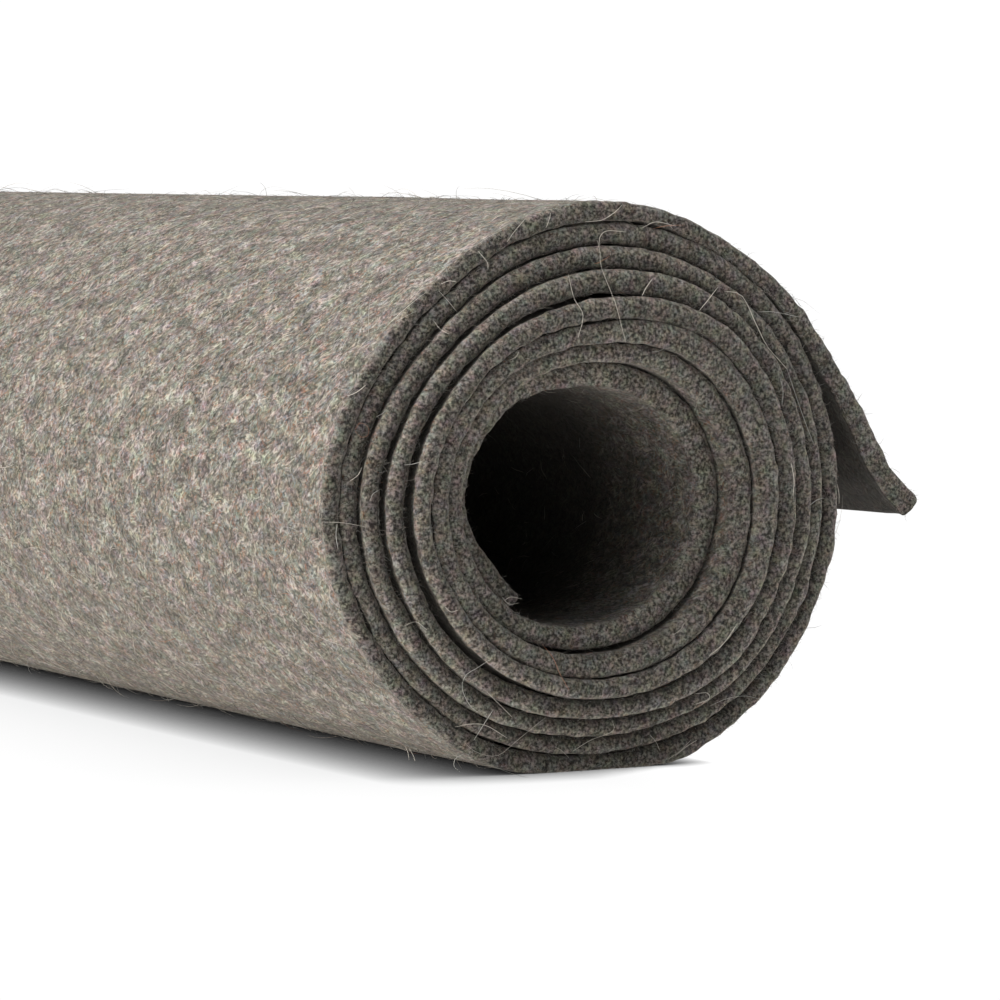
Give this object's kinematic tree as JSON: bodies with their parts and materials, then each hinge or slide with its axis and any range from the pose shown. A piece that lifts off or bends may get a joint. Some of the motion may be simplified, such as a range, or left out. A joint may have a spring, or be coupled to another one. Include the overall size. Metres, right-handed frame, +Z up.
{
  "type": "roll of felt",
  "caption": "Cut length of thick mottled wool felt wound into a loose roll that lies on its side, with its outer end standing off.",
  "frame": {"origin": "on the surface that the roll lies on, under the roll's axis and halfway along it", "axes": "+Y along the roll's axis, away from the end whose middle turns stand out; +X to the side of the loose end; +Z up"},
  "size_m": [0.1304, 0.4586, 0.1071],
  "materials": {
    "felt": "matt, fuzzy, mottled grey-brown wool"
  },
  "bodies": {
    "root": {"felt_roll": "felt"}
  },
  "joints": []
}
